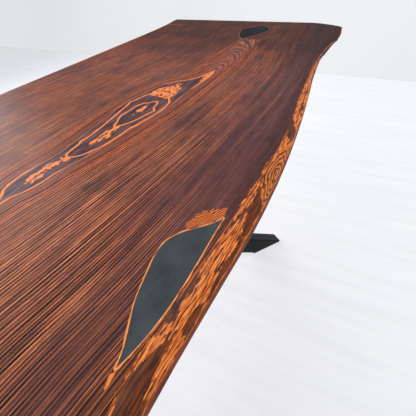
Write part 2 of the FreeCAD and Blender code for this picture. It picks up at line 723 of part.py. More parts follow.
def build_fasteners():
    """Screws, washers and inserts, each kind in a node of its own."""
    thread_gap = "2 * Sizes.thread_clearance"
    hole_gap = "Sizes.bolt_clearance"
    groups = []
    for kind, under, insert_base in (
        ("bar", ARM_TOP, UNDERSIDE),
        ("channel", UNDERSIDE, f"{UNDERSIDE} + Sizes.channel_wall + Sizes.channel_clearance"),
    ):
        spots = bar_bolt_spots() if kind == "bar" else channel_bolt_spots()
        seat = f"{under} - Sizes.{kind}_washer_thickness"
        bolt = build_screw(f"{kind}_bolt_master", f"{kind}_bolt")
        washer = build_ring(
            f"{kind}_washer_master", f"Sizes.{kind}_washer_diameter",
            f"Sizes.{kind}_bolt_diameter + {hole_gap}", f"Sizes.{kind}_washer_thickness")
        insert = build_ring(
            f"{kind}_insert_master", f"Sizes.{kind}_insert_diameter",
            f"Sizes.{kind}_bolt_diameter + {thread_gap}", f"Sizes.{kind}_insert_length")
        groups.append(build_group(f"{kind}_bolts", bolt, spots, seat))
        groups.append(build_group(f"{kind}_washers", washer, spots, seat))
        groups.append(build_group(f"{kind}_inserts", insert, spots, insert_base))
    screw = build_screw("glide_screw_master", "glide_screw")
    groups.append(build_group("glide_screws", screw, glide_screw_spots(), "Sizes.glide_bore_depth"))
    return groups


# ---------------------------------------------------------------------------------------------------------
# Assembly
# ---------------------------------------------------------------------------------------------------------

nodes = [
    build_slab(),
    build_resin("resin_fill_near", "near_pool"),
    build_resin("resin_fill_far", "far_pool"),
    build_channel("stiffener_channel_left", -1),
    build_channel("stiffener_channel_right", 1),
    build_bar("cross_bar_left", -1),
    build_bar("cross_bar_right", 1),
]
for corner in CORNERS:
    crossing, foot = ("Sizes.crossing_height", "0"), (FOOT_TOP, "Sizes.foot_reach")
    nodes.append(build_tube(f"leg_{corner}", corner, *foot, *crossing))
    nodes.append(build_tube(f"arm_{corner}", corner, *crossing, ARM_TOP, ARM_REACH))
    nodes.append(build_foot_plate(corner))
    nodes.append(build_glide(corner))
nodes.extend(build_fasteners())
doc.recompute()

for feature in doc.Objects:
    if {"Invalid", "Error"} & set(feature.State):
        raise RuntimeError(f"{feature.Label} failed: {feature.State}")
for node in nodes:
    if node.Shape.isNull() or not node.Shape.isValid():
        raise RuntimeError(f"{node.Label} has no valid shape")
    node.Shape.exportStep(f"parts/{node.Label}.step")
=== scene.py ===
import json

import bpy
import numpy as np
from mathutils import Matrix, Vector

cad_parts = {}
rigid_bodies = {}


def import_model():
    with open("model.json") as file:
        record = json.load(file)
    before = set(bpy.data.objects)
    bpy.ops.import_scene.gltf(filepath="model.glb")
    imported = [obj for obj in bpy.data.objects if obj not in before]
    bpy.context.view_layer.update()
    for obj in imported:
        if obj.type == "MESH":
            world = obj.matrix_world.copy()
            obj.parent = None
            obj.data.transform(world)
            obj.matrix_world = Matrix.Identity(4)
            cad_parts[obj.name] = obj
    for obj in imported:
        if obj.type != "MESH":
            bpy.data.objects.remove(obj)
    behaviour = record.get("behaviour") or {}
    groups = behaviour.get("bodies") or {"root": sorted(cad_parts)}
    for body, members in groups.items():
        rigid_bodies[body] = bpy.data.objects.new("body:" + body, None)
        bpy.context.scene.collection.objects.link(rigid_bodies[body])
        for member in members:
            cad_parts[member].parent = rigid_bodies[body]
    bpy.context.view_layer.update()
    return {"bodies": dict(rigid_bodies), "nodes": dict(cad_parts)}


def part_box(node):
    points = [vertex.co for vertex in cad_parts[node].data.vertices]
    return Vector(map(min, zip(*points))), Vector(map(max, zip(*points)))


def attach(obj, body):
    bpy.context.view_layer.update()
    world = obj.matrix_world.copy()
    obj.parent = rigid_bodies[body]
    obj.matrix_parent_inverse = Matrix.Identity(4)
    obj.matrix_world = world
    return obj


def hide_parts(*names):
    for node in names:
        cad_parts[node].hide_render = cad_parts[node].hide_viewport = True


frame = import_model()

nodes = frame["nodes"]
body = next(iter(frame["bodies"]))

# --- Slab: mesh -----------------------------------------------------------------------------------
# One wide plank of softwood, sawn through the log a hand's breadth above the pith, its ends square. The
# long edges are left as they grew, only stripped of their bark and brushed, so their sides are uneven.

SLAB_THICKNESS = 0.052
GRID_CELL = 0.012
FACE_ROW = 0.0065
FLAMES_LOW, FLAMES_HIGH = (-0.27, -0.15), (0.6, 0.03)
POOL_BORDER = 0.02
# how close a spot has to be to the top, a side face or an end to be on it
TOP_SKIN, SIDE_SKIN, END_SKIN = 0.0005, 0.0004, 0.002
# spots this far from the middle line belong to an edge
EDGE_ZONE = 0.2
# the sides swell by half of this either way, and grow to it within these runs from arris, foot and ends
EDGE_SWELL = 0.004
EDGE_SWELL_LENGTH = 0.045
RUN_FROM_ARRIS, RUN_FROM_FOOT, RUN_FROM_END = 0.012, 0.01, 0.05
LEAST_WEIGHT = 0.01


def take_up(piece):
    """Makes piece the only selected and the active object."""
    if bpy.context.object and bpy.context.object.mode != "OBJECT":
        bpy.ops.object.mode_set(mode="OBJECT")
    bpy.ops.object.select_all(action="DESELECT")
    piece.select_set(True)
    bpy.context.view_layer.objects.active = piece


def copy_of_node(node, name):
    """A separate copy of a CAD node, with its loose triangles joined and its flat faces made whole."""
    piece = nodes[node].copy()
    piece.data = nodes[node].data.copy()
    piece.name = piece.data.name = name
    piece.parent = None
    for key in list(piece.keys()):
        del piece[key]
    bpy.context.scene.collection.objects.link(piece)
    take_up(piece)
    bpy.ops.object.mode_set(mode="EDIT")
    bpy.ops.mesh.select_all(action="SELECT")
    bpy.ops.mesh.remove_doubles(threshold=0.00002)
    bpy.ops.mesh.dissolve_limited(angle_limit=0.003)
    bpy.ops.object.mode_set(mode="OBJECT")
    return piece


def cut_across(piece, axis, cell, low, high):
    """Cuts piece all the way through with planes square to axis, a cell apart."""
    take_up(piece)
    bpy.ops.object.mode_set(mode="EDIT")
    normal = Vector((0, 0, 0))
    normal[axis] = 1
    for place in np.arange(low[axis] + cell, high[axis], cell):
        bpy.ops.mesh.select_all(action="SELECT")
        bpy.ops.mesh.bisect(plane_co=normal * float(place), plane_no=normal)
    bpy.ops.object.mode_set(mode="OBJECT")


def split_faces(piece, cuts, low, high):
    """Divides the faces between the corners low and high, with so many cuts along each of their edges."""
    take_up(piece)
    bpy.ops.object.mode_set(mode="EDIT")
    bpy.ops.mesh.select_mode(type="FACE")
    bpy.ops.mesh.select_all(action="DESELECT")
    bpy.ops.object.mode_set(mode="OBJECT")
    centres = np.zeros(len(piece.data.polygons) * 3, np.float32)
    piece.data.polygons.foreach_get("center", centres)
    centres = centres.reshape(-1, 3)
    inside = np.all((centres > np.array(low)) & (centres < np.array(high)), axis=1)
    piece.data.polygons.foreach_set("select", inside)
    bpy.ops.object.mode_set(mode="EDIT")
    bpy.ops.mesh.subdivide(number_cuts=cuts, quadcorner="INNERVERT")
    bpy.ops.object.mode_set(mode="OBJECT")


slab = copy_of_node("slab_top", "slab_board")
slab_low, slab_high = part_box("slab_top")
for axis, cell in ((0, GRID_CELL), (1, GRID_CELL), (2, FACE_ROW)):
    cut_across(slab, axis, cell, slab_low, slab_high)
just_under = slab_high.z - TOP_SKIN
split_faces(slab, 2, (*FLAMES_LOW, just_under), (*FLAMES_HIGH, 1))
for pool in ("resin_fill_near", "resin_fill_far"):
    pool_low, pool_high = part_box(pool)
    split_faces(slab, 2, (pool_low.x - POOL_BORDER, pool_low.y - POOL_BORDER, just_under),
                (pool_high.x + POOL_BORDER, pool_high.y + POOL_BORDER, 1))

spots = np.zeros(len(slab.data.vertices) * 3, np.float32)
slab.data.vertices.foreach_get("co", spots)
spots = spots.reshape(-1, 3).astype(float)


def along(table, x, smooth=True):
    """The table's value at each place x, on a curve or on straight runs through its points."""
    places, values = np.array(table).T
    if not smooth:
        return np.interp(x, places, values)
    slopes = np.gradient(values, places)
    index = np.clip(np.searchsorted(places, x) - 1, 0, len(places) - 2)
    step = places[index + 1] - places[index]
    t = np.clip((x - places[index]) / step, 0, 1)
    start, end = values[index], values[index + 1]
    return ((2 * t**3 - 3 * t**2 + 1) * start + (t**3 - 2 * t**2 + t) * step * slopes[index]
            + (3 * t**2 - 2 * t**3) * end + (t**3 - t**2) * step * slopes[index + 1])


def arris_of_top(side):
    """The edge of the flat top on one side, front (-1) or back (1), as a table along the slab."""
    on_top = spots[(spots[:, 2] > just_under) & (side * spots[:, 1] > EDGE_ZONE)]
    columns = np.round(on_top[:, 0] / GRID_CELL)
    return tuple((column * GRID_CELL, side * (side * on_top[columns == column, 1]).max())
                 for column in np.unique(columns))


ARRIS = {side: arris_of_top(side) for side in (-1, 1)}
x, y, z = spots.T
arris = {side: along(ARRIS[side], x, smooth=False) for side in (-1, 1)}
depth = slab_high.z - z
# how far a spot is past the arris of its side: down the side face, or less than nothing on the top
past_arris = np.full(len(spots), -EDGE_ZONE)
for side in (-1, 1):
    inside = side * (arris[side] - y)
    on_face = inside < SIDE_SKIN
    past_arris = np.where(side * y > 0, np.where(on_face, depth, -inside), past_arris)
saw_cut = np.abs(np.abs(x) - slab_high.x) < END_SKIN

swell = slab.vertex_groups.new(name="uneven_side")
weight = np.clip(past_arris / RUN_FROM_ARRIS, 0, 1) * ~saw_cut
weight *= np.clip((SLAB_THICKNESS - depth) / RUN_FROM_FOOT, 0, 1)
weight *= np.clip((slab_high.x - np.abs(x)) / RUN_FROM_END, 0, 1)
for index in np.nonzero(weight > LEAST_WEIGHT)[0]:
    swell.add([int(index)], float(weight[index]), "REPLACE")
lumps = bpy.data.textures.new("lumps_under_the_bark", "CLOUDS")
lumps.noise_scale = EDGE_SWELL_LENGTH
lumps.noise_depth = 2
uneven = slab.modifiers.new("uneven_side", "DISPLACE")
uneven.texture = lumps
uneven.texture_coords = "LOCAL"
uneven.vertex_group = swell.name
uneven.strength = EDGE_SWELL
uneven.direction = "NORMAL"

# --- Slab: growth rings ---------------------------------------------------------------------------
# The rings run as long lines that follow the trunk. Where the saw meets them nearly flat, they close into
# three nested flames with ragged patches at their tips, and they part round the far rotten pocket. Each
# table gives places along the slab, in metres, and either a value or the front and back line there.

FLAME_OUTER = ((-0.262, -0.052, -0.052), (-0.22, -0.0493, -0.0459), (-0.197, -0.0517, -0.0425),
               (-0.178, -0.0537, -0.0299), (-0.167, -0.0596, -0.0195), (-0.153, -0.0654, -0.0142),
               (-0.136, -0.0701, -0.0115), (-0.118, -0.0727, -0.0109), (-0.09, -0.0738, -0.0125),
               (-0.055, -0.0825, -0.0183), (-0.02, -0.0916, -0.0202), (0.015, -0.0983, -0.016),
               (0.064, -0.1049, -0.0118), (0.12, -0.1105, -0.0056), (0.155, -0.1176, -0.0027),
               (0.18, -0.1227, 0.0008), (0.215, -0.1263, 0.005), (0.25, -0.1283, 0.0078),
               (0.285, -0.1298, 0.0015), (0.338, -0.128, -0.0098), (0.376, -0.1285, -0.0188),
               (0.404, -0.1298, -0.0265), (0.411, -0.1304, -0.0352), (0.425, -0.1315, -0.0475),
               (0.439, -0.1324, -0.065), (0.453, -0.1334, -0.0807), (0.47, -0.1345, -0.096),
               (0.488, -0.1349, -0.107), (0.512, -0.1345, -0.1139), (0.53, -0.1343, -0.1203),
               (0.537, -0.1326, -0.1228), (0.556, -0.1281, -0.1279))
FLAME_MIDDLE = ((-0.038, -0.0507, -0.0498), (-0.03, -0.0672, -0.0393), (-0.02, -0.0755, -0.038),
                (-0.006, -0.0825, -0.0363), (0.015, -0.0923, -0.0342), (0.025, -0.094, -0.0299),
                (0.036, -0.0958, -0.0313), (0.06, -0.0989, -0.032), (0.085, -0.1, -0.0294),
                (0.12, -0.1028, -0.0244), (0.137, -0.1086, -0.0224), (0.172, -0.1139, -0.0178),
                (0.201, -0.1182, -0.0132), (0.225, -0.1209, -0.0098), (0.25, -0.1203, -0.0037),
                (0.264, -0.1185, -0.0107), (0.278, -0.1168, -0.0144), (0.292, -0.107, -0.0168),
                (0.299, -0.1035, -0.0178), (0.313, -0.0923, -0.0248), (0.32, -0.086, -0.0353),
                (0.334, -0.065, -0.065))
FLAME_INNER = ((0.107, -0.0624, -0.0618), (0.115, -0.0672, -0.0527), (0.13, -0.0759, -0.0494),
               (0.141, -0.0825, -0.0453), (0.152, -0.0879, -0.0403), (0.166, -0.0914, -0.0362),
               (0.176, -0.0938, -0.0353), (0.194, -0.0983, -0.0378), (0.212, -0.1028, -0.0382),
               (0.222, -0.1034, -0.0377), (0.236, -0.0923, -0.0414), (0.243, -0.0905, -0.0433),
               (0.25, -0.0888, -0.0461), (0.262, -0.0864, -0.0611), (0.272, -0.0801, -0.0726))
RAGGED_PATCHES = (
    ((-0.142, -0.045, -0.045), (-0.128, -0.0539, -0.0316), (-0.111, -0.0563, -0.0283),
     (-0.104, -0.0551, -0.0335), (-0.09, -0.0527, -0.0317), (-0.055, -0.0545, -0.0353),
     (-0.045, -0.0638, -0.039), (-0.032, -0.0615, -0.0615)),
    ((0.016, -0.0624, -0.062), (0.027, -0.0684, -0.0563), (0.04, -0.0738, -0.0528),
     (0.05, -0.0738, -0.0531), (0.057, -0.0808, -0.0534), (0.067, -0.0831, -0.0538),
     (0.074, -0.076, -0.0534), (0.085, -0.0772, -0.0528), (0.099, -0.0738, -0.0598),
     (0.106, -0.072, -0.057), (0.12, -0.0692, -0.0692)),
    ((0.299, -0.1042, -0.1042), (0.31, -0.1009, -0.0279), (0.33, -0.1034, -0.025),
     (0.348, -0.1028, -0.0268), (0.362, -0.0972, -0.0289), (0.369, -0.0982, -0.03),
     (0.376, -0.0993, -0.0414), (0.385, -0.0973, -0.0548), (0.392, -0.0952, -0.0646),
     (0.4, -0.0755, -0.0633)),
    ((0.193, -0.0668, -0.0668), (0.199, -0.0727, -0.061), (0.212, -0.077, -0.0596),
     (0.22, -0.0734, -0.0631)),
    ((0.179, -0.0668, -0.0668), (0.183, -0.069, -0.062), (0.188, -0.0657, -0.0657)),
    ((0.47, -0.1345, -0.12), (0.5, -0.1345, -0.112), (0.53, -0.1343, -0.1203), (0.558, -0.128, -0.128)),
)
TAIL = ((-0.347, -0.4185, -0.4185), (-0.337, -0.42, -0.4168), (-0.327, -0.4195, -0.4145),
        (-0.318, -0.4175, -0.4135), (-0.31, -0.416, -0.416))
OUTER_X, OUTER_FRONT, OUTER_BACK = zip(*FLAME_OUTER)
BEFORE = ((-1.35, -0.03), (-0.8, -0.04), (-0.5, -0.035), (-0.35, -0.045))
BEYOND_FRONT = ((0.6, -0.129), (0.63, -0.129), (0.7, -0.118), (0.8, -0.1), (0.9, -0.082),
                (0.979, -0.071), (1.05, -0.098), (1.11, -0.122), (1.16, -0.142), (1.2, -0.132),
                (1.25, -0.08), (1.35, -0.078))
BEYOND_BACK = BEYOND_FRONT[:6] + ((1.05, -0.042), (1.11, -0.017), (1.16, -0.003), (1.2, -0.022),
                                  (1.25, -0.078), (1.35, -0.076))
RIDGE_FRONT = BEFORE + tuple(zip(OUTER_X, OUTER_FRONT)) + BEYOND_FRONT
RIDGE_BACK = BEFORE + tuple(zip(OUTER_X, OUTER_BACK)) + BEYOND_BACK
RIDGE_RING = ((-1.35, 8), (-1.2, 7), (-1.0, 6.2), (-0.78, 7.8), (-0.6, 9), (-0.5, 7), (-0.35, 4.5),
              (-0.262, 3), (0.556, 3), (0.6, 3.8), (0.63, 4.6), (0.7, 6.6), (0.8, 9), (0.9, 11),
              (0.98, 12), (1.35, 12.3))
# chosen rings on either side of the ridge, and where each runs
FRONT_LINES = (
    (13, ((-1.35, -0.09), (-0.5, -0.1), (-0.3, -0.115), (-0.1, -0.142), (0.1, -0.175), (0.3, -0.196),
          (0.43, -0.2), (0.59, -0.2), (0.8, -0.175), (1.0, -0.15), (1.15, -0.168), (1.35, -0.14))),
    (42, ((-1.35, -0.25), (-0.5, -0.268), (-0.357, -0.28), (-0.25, -0.297), (-0.124, -0.312),
          (0.05, -0.327), (0.3, -0.345), (0.6, -0.352), (0.8, -0.33), (1.0, -0.305), (1.35, -0.28))),
)
BACK_LINES = (
    (17, ((-1.35, 0.055), (-0.5, 0.08), (0, 0.07), (0.2, 0.062), (0.49, 0.008), (0.69, -0.034),
          (0.84, -0.046), (0.98, -0.045), (1.05, -0.022), (1.11, 0.004), (1.16, 0.018), (1.2, 0.004),
          (1.25, -0.04), (1.35, -0.05))),
)
RING_PITCH = 0.005
LEAST_REACH = 0.012
# powers over 1 set the rings wider apart near the ridge
LEAST_POWER, MOST_POWER, POWER_BESIDE_FLAMES = 1.12, 2.6, 1.1
# below the top the rings of the middle come closer to the pith, and those of the sides stay almost upright
RINGS_THROUGH_SLAB = 9
PITH_LINE, PITH_ZONE = -0.06, 0.45

middle = along(RIDGE_RING, x, smooth=False)
rings = np.zeros(len(spots))
for side, ridge, lines in ((-1, RIDGE_FRONT, FRONT_LINES), (1, RIDGE_BACK, BACK_LINES)):
    out = np.minimum(side * y, side * arris[side])
    ridge_out = side * along(ridge, x, smooth=False)
    last_ring, line = lines[0]
    reach = np.maximum(side * along(line, x) - ridge_out, LEAST_REACH)
    power = np.clip(reach / RING_PITCH / (last_ring - middle), LEAST_POWER, MOST_POWER)
    power = np.where((x > OUTER_X[0]) & (x < OUTER_X[-1]), POWER_BESIDE_FLAMES, power)
    counted = middle + (last_ring - middle) * np.clip((out - ridge_out) / reach, 0, 1) ** power
    start = ridge_out + reach
    for ring, line in lines[1:]:
        reach = np.maximum(side * along(line, x) - start, LEAST_REACH)
        counted += (ring - last_ring) * np.clip((out - start) / reach, 0, 1)
        start, last_ring = start + reach, ring
    counted += np.maximum(out - start, 0) / RING_PITCH
    rings = np.where(out > ridge_out, counted, np.where(rings == 0, middle, rings))
from_ridge = rings - middle
near_pith = np.clip(1 - np.abs(y - PITH_LINE) / PITH_ZONE, 0, 1)
rings -= RINGS_THROUGH_SLAB * depth / SLAB_THICKNESS * near_pith

LINE_STEP = 0.0005
FLAME_MARGIN, RIM_MARGIN = 0.02, 0.03


def gap_to(outline, low, high):
    """Distance of the spots on top between low and high from outline's nearest point, and 1 elsewhere."""
    gap = np.full(len(spots), 1.0)
    close = np.all((spots[:, :2] > low) & (spots[:, :2] < high), axis=1) & (depth < TOP_SKIN)
    for index in np.nonzero(close)[0]:
        gap[index] = np.sqrt(((outline - spots[index, :2]) ** 2).sum(1)).min()
    return gap


def gap_to_flame(table):
    """Distance of every spot near a flame from its line, less than nothing inside it."""
    places, front, back = np.array(table).T
    steps = np.arange(places[0], places[-1], LINE_STEP)
    edges = [np.column_stack((steps, np.interp(steps, places, edge))) for edge in (front, back)]
    line = np.concatenate(edges)
    gap = gap_to(line, line.min(0) - FLAME_MARGIN, line.max(0) + FLAME_MARGIN)
    inside = (y > np.interp(x, places, front)) & (y < np.interp(x, places, back))
    return np.where(inside & (gap < 1), -gap, gap)


flame_outer, flame_middle, flame_inner = map(gap_to_flame, (FLAME_OUTER, FLAME_MIDDLE, FLAME_INNER))
ragged = np.min([gap_to_flame(patch) for patch in RAGGED_PATCHES], axis=0)
tail = gap_to_flame(TAIL)

# where the bark side's orange begins: place along the slab, and how far past the front arris, which is
# BACK_BARK everywhere at the back
BARK_LINE = ((-1.35, 0.001), (-0.9, -0.002), (-0.6, 0.002), (-0.36, -0.003), (-0.29, -0.001),
             (-0.27, 0.003), (-0.2, 0.0045), (-0.12, 0.003), (-0.05, 0.001), (0, -0.001), (0.1, -0.003),
             (0.18, -0.001), (0.2, 0.004), (0.25, 0.008), (0.28, 0.003), (0.3, -0.002), (0.42, -0.003),
             (0.5, 0), (0.6, 0.003), (0.8, 0.006), (1.35, 0.008))
BACK_BARK = 0.001
past_bark = past_arris - np.where(y < 0, along(BARK_LINE, x, smooth=False), BACK_BARK)

# long brown patches on the front side: middle along the slab, middle past the arris, half length and half
# height
BROWN_PATCHES = ((-0.35, 0.0095, 0.07, 0.0075), (-0.235, 0.022, 0.024, 0.006),
                 (-0.14, 0.025, 0.03, 0.006), (-0.04, 0.019, 0.045, 0.008), (0.235, 0.012, 0.035, 0.01),
                 (0.38, 0.0095, 0.09, 0.0022), (-0.72, 0.02, 0.06, 0.009), (-1.2, 0.014, 0.08, 0.007))

# closed loops where the uneven side dips through the rings, each drawn out towards the far end, as a flame
# is: side, middle along the slab, middle below the top, half length and half height
LOOPS_ON_SIDES = ((-1, 0.085, 0.021, 0.115, 0.024), (-1, -0.6, 0.026, 0.09, 0.016),
                  (-1, -1.1, 0.022, 0.07, 0.014), (-1, 0.56, 0.03, 0.05, 0.012),
                  (1, -0.85, 0.026, 0.09, 0.018), (1, -0.1, 0.022, 0.07, 0.015),
                  (1, 0.7, 0.028, 0.1, 0.017))
NEAR_HALF = 0.85
LOOP_POWER, LOOP_ROOT = 1.6, 0.62
loops = np.full(len(spots), 2.0)
for side, centre, below, half_length, half_height in LOOPS_ON_SIDES:
    length = np.where(x > centre, half_length, half_length * NEAR_HALF)
    out = (np.abs((x - centre) / length) ** LOOP_POWER
           + np.abs((depth - below) / half_height) ** LOOP_POWER) ** LOOP_ROOT
    loops = np.where(side * y > EDGE_ZONE, np.minimum(loops, out), loops)


def outline_points(node):
    """Points a millimetre apart along the outline of a resin fill's top."""
    mesh = nodes[node].data
    corners = np.zeros(len(mesh.vertices) * 3, np.float32)
    mesh.vertices.foreach_get("co", corners)
    corners = np.round(corners.reshape(-1, 3).astype(float), 6)
    count = {}
    for face in mesh.polygons:
        if all(corners[vertex][2] > just_under for vertex in face.vertices):
            for start, end in zip(face.vertices, list(face.vertices[1:]) + [face.vertices[0]]):
                key = tuple(sorted((tuple(corners[start][:2]), tuple(corners[end][:2]))))
                count[key] = count.get(key, 0) + 1
    points = []
    for (start, end), times in count.items():
        if times == 1:
            steps = max(int(np.hypot(end[0] - start[0], end[1] - start[1]) / 0.001), 1)
            shares = np.arange(steps)[:, None] / steps
            points.append(np.array(start) * (1 - shares) + np.array(end) * shares)
    return np.concatenate(points)


resin_gap = np.full(len(spots), 1.0)
for pool in ("resin_fill_near", "resin_fill_far"):
    rim = outline_points(pool)
    gap = gap_to(rim, rim.min(0) - RIM_MARGIN, rim.max(0) + RIM_MARGIN)
    resin_gap = np.minimum(resin_gap, gap)

# curly, pale wood beyond the far tip of the near pocket, between two lines
CURL_OUTER = ((-0.128, -0.386), (-0.105, -0.383), (-0.092, -0.385), (-0.077, -0.394), (-0.064, -0.412),
              (-0.052, -0.436))
CURL_INNER = ((-0.128, -0.388), (-0.121, -0.396), (-0.112, -0.407), (-0.098, -0.423), (-0.079, -0.437),
              (-0.052, -0.440))
NO_CURL = -0.02
curl = np.minimum(along(CURL_OUTER, x, smooth=False) - y, y - along(CURL_INNER, x, smooth=False))
curl = np.minimum(curl, np.minimum(x - CURL_OUTER[0][0], CURL_OUTER[-1][0] - x))
curl = np.where(depth < TOP_SKIN, np.maximum(curl, NO_CURL), NO_CURL)

for name, values in (("ring_count", rings), ("past_arris", past_arris), ("resin_gap", resin_gap),
                     ("curly_grain", curl), ("pale_tail", tail), ("flame_outer", flame_outer),
                     ("flame_middle", flame_middle), ("flame_inner", flame_inner), ("ragged_patch", ragged),
                     ("side_loops", loops), ("past_bark", past_bark), ("from_ridge", from_ridge)):
    attribute = slab.data.attributes.new(name, "FLOAT", "POINT")
    attribute.data.foreach_set("value", values.astype(np.float32))

# --- Slab: stained softwood -----------------------------------------------------------------------
# Pine or larch, wire brushed, stained dark and oiled: purple brown spring wood and orange summer wood,
# whose brushed ridges catch the light, which is painted into their colour as highlight, with painted shade
# in the grooves. The bark side took less stain: it is orange with dark islands.


def linear(hex_colour):
    """Linear red, green, blue and 1 from an sRGB hex value."""
    shares = [int(hex_colour[at:at + 2], 16) / 255 for at in (1, 3, 5)]
    return tuple(s / 12.92 if s <= 0.04045 else ((s + 0.055) / 1.055) ** 2.4 for s in shares) + (1,)


def add_node(tree, kind, inputs=None, **settings):
    """Adds a shader node with its settings, and links or sets its inputs."""
    node = tree.nodes.new(kind)
    for name, setting in settings.items():
        setattr(node, name, setting)
    for socket, source in (inputs or {}).items():
        if isinstance(source, bpy.types.NodeSocket):
            tree.links.new(source, node.inputs[socket])
        else:
            node.inputs[socket].default_value = source
    return node


def new_material(name):
    """An empty material, its node tree and its Principled shader."""
    material = bpy.data.materials.new(name)
    material.use_nodes = True
    tree = material.node_tree
    tree.nodes.clear()
    output = tree.nodes.new("ShaderNodeOutputMaterial")
    shader = tree.nodes.new("ShaderNodeBsdfPrincipled")
    tree.links.new(shader.outputs[0], output.inputs[0])
    return material, tree, shader


def stained_softwood():
    """The slab's material. Scales of noise are per metre along, across and down, and places are metres."""
    material, tree, shader = new_material("stained_softwood_brushed_and_oiled")

    def math(operation, first, second=0.0, third=0.0):
        inputs = {0: first, 1: second}
        if operation == "MULTIPLY_ADD":
            inputs[2] = third
        return add_node(tree, "ShaderNodeMath", inputs, operation=operation).outputs[0]

    def product(first, *others):
        for other in others:
            first = math("MULTIPLY", first, other)
        return first

    def scaled(value, factor, offset):
        return math("MULTIPLY_ADD", value, factor, offset)

    def ramp(value, low, high, start=0.0, end=1.0):
        """Goes softly from start, where value is low, to end, where it is high."""
        return add_node(tree, "ShaderNodeMapRange", {0: value, 1: low, 2: high, 3: start, 4: end},
                        interpolation_type="SMOOTHSTEP").outputs[0]

    def band(value, low, high, soft):
        """1 between low and high, and 0 outside, soft on both sides."""
        return product(ramp(value, low - soft, low + soft), ramp(value, high - soft, high + soft, 1.0, 0.0))

    def attribute(name):
        return add_node(tree, "ShaderNodeAttribute", attribute_name=name).outputs["Fac"]

    def mix(share, first, second, blend="MIX"):
        """Goes from the first colour to the second, each a socket, a tuple or an sRGB hex value."""
        first, second = (linear(one) if isinstance(one, str) else one for one in (first, second))
        return add_node(tree, "ShaderNodeMix", {0: share, 6: first, 7: second}, data_type="RGBA",
                        blend_type=blend).outputs[2]

    def shaded(colour, shade):
        return mix(1.0, colour, shade, "MULTIPLY")

    place = add_node(tree, "ShaderNodeTexCoord").outputs["Object"]
    where = add_node(tree, "ShaderNodeSeparateXYZ", {0: place}).outputs
    count, past, gap = attribute("ring_count"), attribute("past_arris"), attribute("resin_gap")
    from_ridge, from_outer_flame = attribute("from_ridge"), attribute("flame_outer")
    down_side = add_node(tree, "ShaderNodeCombineXYZ",
                         {0: where[0], 1: past, 2: math("SIGN", where[1])}).outputs[0]

    def noise(scale, detail=2.0, roughness=0.5, vector=place):
        stretched = add_node(tree, "ShaderNodeMapping", {"Vector": vector, "Scale": scale}).outputs[0]
        inputs = {"Vector": stretched, "Scale": 1.0, "Detail": detail, "Roughness": roughness}
        return add_node(tree, "ShaderNodeTexNoise", inputs).outputs[0]

    def noise_by_ring(value, detail):
        """Noise with five waves for each 1 that value grows by."""
        return add_node(tree, "ShaderNodeTexNoise", {"W": value, "Scale": 5.0, "Detail": detail},
                        noise_dimensions="1D").outputs[0]

    def along_slab(low, high, start=0.0, end=1.0):
        """Goes softly from start to end between two places along the slab."""
        return ramp(where[0], low, high, start, end)

    # rings, with the wander of real ones: waves a hand long, 15 mm crinkles and lines of uneven width
    wander = scaled(noise((6, 32, 32)), 1.3, -0.65)
    crinkle = scaled(noise((60, 90, 90), 3.0, 0.6), 0.3, -0.15)
    uneven_width = noise_by_ring(product(count, 0.8), 0.0)
    rings = math("ADD", math("ADD", count, wander), scaled(uneven_width, 1.0, crinkle))
    share, number = math("FRACT", rings), math("FLOOR", rings)
    luck = add_node(tree, "ShaderNodeTexWhiteNoise", {"W": number}, noise_dimensions="1D").outputs[0]
    ring_and_place = add_node(tree, "ShaderNodeCombineXYZ", {0: where[0], 1: number}).outputs[0]
    groups = noise((1.3, 0.31, 1), 1.0, vector=ring_and_place)

    # blotches of stain a hand wide, and bars where strokes of the brush overlap
    blotches = scaled(noise((12, 3, 3)), 0.35, product(noise((7, 13, 13), 5.0, 0.62), 0.65))
    streaks = noise((3, 75, 75), 5.0, 0.7)
    specks = noise((260, 420, 420), 1.0)
    rust = ramp(scaled(streaks, 0.12, blotches), 0.4, 0.68)
    at_front = product(ramp(scaled(noise((3, 14, 14)), 0.16, past), -0.08, -0.03),
                       ramp(where[1], -0.2, -0.25))
    rust = product(rust, scaled(at_front, -0.8, 1.0))
    ground = mix(rust, "#52373b", "#85473b")

    # summer wood: a brushed ridge that took little stain and is painted paler still, as a painted highlight
    # where it catches the light, with a dark groove behind it that is partly painted shade; the lines are
    # clear beside the flames and towards the near end and soft along the front
    ridge = band(share, 0.1, 0.43, 0.07)
    groove_with_painted_shade = band(share, 0.51, 0.98, 0.07)
    line = mix(along_slab(-0.4, 0.1), mix(rust, "#da7e50", "#fa945a"), mix(rust, "#ce8264", "#ea966c"))
    bright = product(ramp(luck, 0.3, 0.6), ramp(groups, 0.6, 0.7))
    for (ring, _), starts in zip(FRONT_LINES, (0.3, -0.3)):
        streak = product(band(count, ring - 1.3, ring + 1.3, 0.9), along_slab(starts, starts + 0.4))
        bright = math("MAXIMUM", bright, product(streak, ramp(noise((7, 7, 7)), 0.35, 0.6, 0.2, 0.9)))
    strength = product(ramp(noise((5, 20, 20)), 0.35, 0.6, 0.5, 1.0), ramp(luck, 0.0, 0.5, 0.6, 1.0),
                       along_slab(-0.25, 0.35, 1.0, 0.5))
    smooth_front = product(at_front, along_slab(-0.3, 0.0), 0.8)
    beside_flames = product(ramp(from_ridge, 5.0, 15.0, 1.0, 0.0), along_slab(0.86, 0.96, 1.0, 0.0))
    strength = math("MAXIMUM", product(strength, scaled(smooth_front, -1.0, 1.0)), beside_flames)
    ground = mix(product(beside_flames, 0.5), ground, "#4a3034")
    bright = math("MAXIMUM", bright, product(beside_flames, 0.75))
    bright_line = mix(beside_flames, "#f09a68", "#e4744a")
    top = mix(product(ridge, strength), ground, mix(bright, line, bright_line))
    top = mix(product(groove_with_painted_shade, strength), top, mix(rust, "#1a1012", "#2a110d"))
    bright_ground = math("MINIMUM", bright, scaled(beside_flames, -1.0, 1.0))
    top = mix(product(bright_ground, 0.25), top, "#c06a40")

